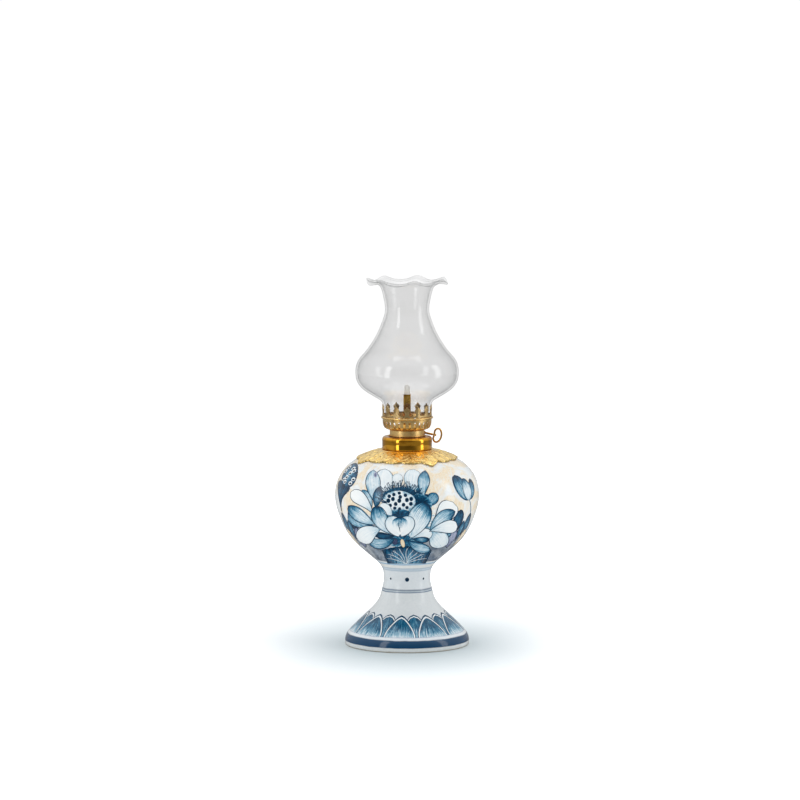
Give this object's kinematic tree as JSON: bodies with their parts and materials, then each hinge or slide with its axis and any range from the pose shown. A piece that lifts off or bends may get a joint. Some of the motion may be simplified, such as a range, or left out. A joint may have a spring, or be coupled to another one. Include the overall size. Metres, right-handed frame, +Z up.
{
  "type": "oil lamp",
  "caption": "Blue-and-white porcelain oil lamp: pedestal font, pierced leaf skirt, brass collar, screw-in flat-wick burner with a key, and a ruffled glass chimney.",
  "frame": {"origin": "centre of the ring that the foot stands on", "axes": "+Z up the lamp's axis, +X towards the wick key, -Y to the front of the painting"},
  "size_m": [0.11, 0.11, 0.2804],
  "materials": {
    "glaze": "glossy blue-and-white underglaze painting on porcelain",
    "gilt": "gilt, pressed and pierced sheet",
    "plaster": "matte plaster",
    "polished_brass": "polished and lacquered",
    "satin_brass": "satin",
    "coppery_brass": "tarnished, reddish wire",
    "steel": "tinned",
    "fibre": "matte red fibre sheet",
    "cotton": "woven white cotton",
    "clear_glass": "clear blown glass"
  },
  "bodies": {
    "lamp_base": {"ceramic_body": "glaze", "leaf_skirt": "gilt", "collar_cement": "plaster", "collar": "polished_brass"},
    "washer": {"sealing_washer": "fibre"},
    "burner": {"burner_cup": "satin_brass", "burner_deck": "polished_brass", "wick_tube": "polished_brass", "wheel_cage": "polished_brass", "spindle_bushing": "polished_brass", "gallery_basket": "polished_brass", "prong_crown": "polished_brass"},
    "wick_key": {"wick_spindle": "coppery_brass", "wick_wheel_1": "steel", "wick_wheel_2": "steel", "key_loop": "coppery_brass"},
    "wick": {"wick": "cotton"},
    "chimney": {"chimney": "clear_glass"}
  },
  "joints": [
    {"name": "washer_rise", "type": "slide", "parent": "lamp_base", "child": "washer", "axis": [0, 0, 1], "range_m": [0, 0.00361]},
    {"name": "burner_unscrew", "type": "hinge", "parent": "washer", "child": "burner", "pos_m": [0, 0, 0.16], "axis": [0, 0, 1], "range_deg": [0, 540]},
    {"name": "wick_turn", "type": "hinge", "parent": "burner", "child": "wick_key", "pos_m": [0, 0.00405, 0.16486], "axis": [-0.9781, 0, 0.2079], "range_deg": [-220, 145]},
    {"name": "wick_raise", "type": "slide", "parent": "burner", "child": "wick", "axis": [0, 0, 1], "range_m": [-0.0088, 0.0058]},
    {"name": "chimney_lift", "type": "slide", "parent": "burner", "child": "chimney", "axis": [0, 0, 1], "range_m": [0, 0.04]}
  ],
  "couplings": [
    {"joint": "washer_rise", "follows": "burner_unscrew", "m_per_rad": 0.00038197},
    {"joint": "wick_turn", "follows": "wick_raise", "rad_per_m": 434.78}
  ]
}
